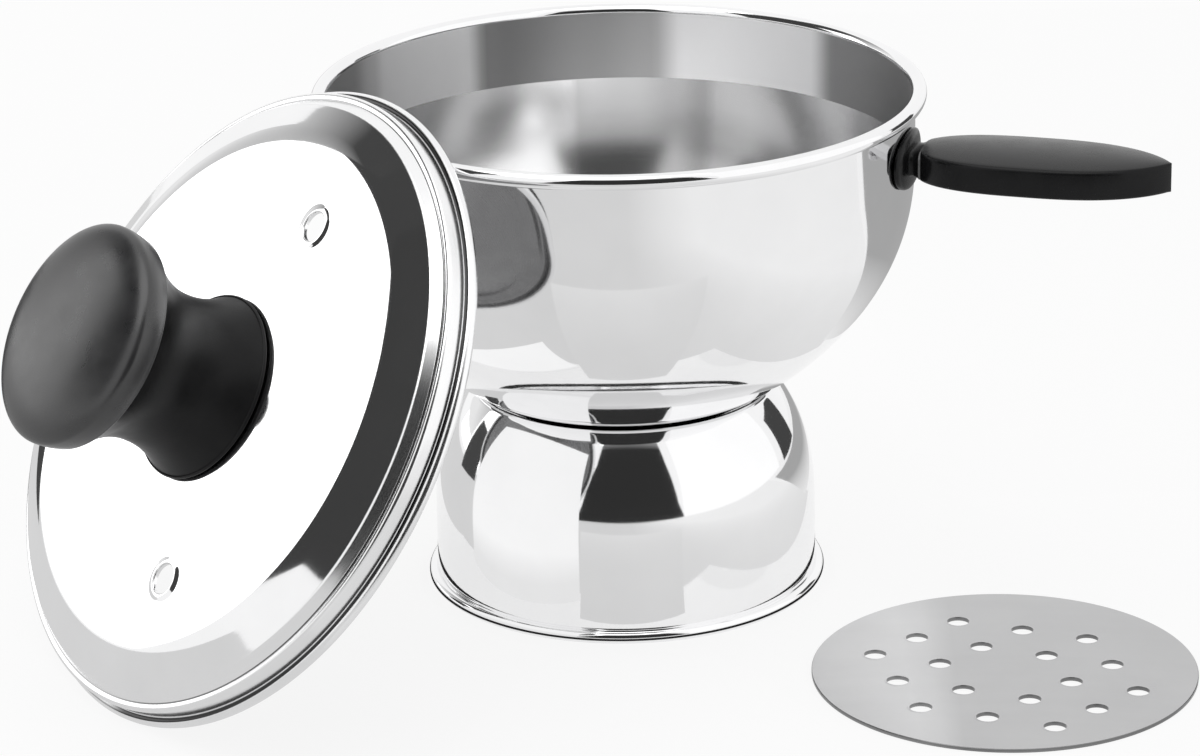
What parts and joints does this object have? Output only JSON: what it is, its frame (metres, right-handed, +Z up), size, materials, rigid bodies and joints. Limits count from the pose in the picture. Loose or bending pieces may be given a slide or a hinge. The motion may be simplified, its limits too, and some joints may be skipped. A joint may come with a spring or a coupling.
{
  "type": "puttu maker",
  "caption": "Steamer for a shaped rice-flour cake: polished steel bowl on an inverted cup base with a side handle, a domed cover with a knob, and a perforated steam plate.",
  "frame": {"origin": "on the floor under the middle of the whole set's box, as laid out with the cover leaning and the plate beside it", "axes": "+Z up; +X across the set, from the leaning cover towards the handle's side; the plate and the cover's foot lie towards -Y"},
  "size_m": [0.2338, 0.1692, 0.1121],
  "materials": {
    "bowl_steel": "mirror-polished stainless steel outside, satin inside",
    "base_steel": "mirror-polished stainless steel",
    "lid_steel": "mirror-polished stainless steel",
    "plate_steel": "satin stainless steel sheet",
    "fitting_steel": "plain turned stainless steel",
    "insert_brass": "turned brass",
    "black_phenolic": "moulded black phenolic, half gloss"
  },
  "bodies": {
    "stand": {"bowl": "bowl_steel", "base_skirt": "base_steel", "steam_ferrule": "fitting_steel", "ferrule_washer": "fitting_steel", "handle_stud": "fitting_steel", "handle_guard": "black_phenolic", "handle_grip": "black_phenolic", "handle_screw": "fitting_steel"},
    "cover": {"lid_pan": "lid_steel", "knob": "black_phenolic", "knob_insert": "insert_brass", "knob_washer": "fitting_steel", "knob_screw": "fitting_steel"},
    "plate": {"steam_plate": "plate_steel"}
  },
  "joints": [
    {"name": "cover_lift", "type": "slide", "parent": "stand", "child": "cover", "axis": [-0.4992, -0.3329, 0.8], "range_m": [0, 0.15]},
    {"name": "plate_lift", "type": "slide", "parent": "stand", "child": "plate", "axis": [0, -0.6, 0.8], "range_m": [0, 0.15]}
  ]
}
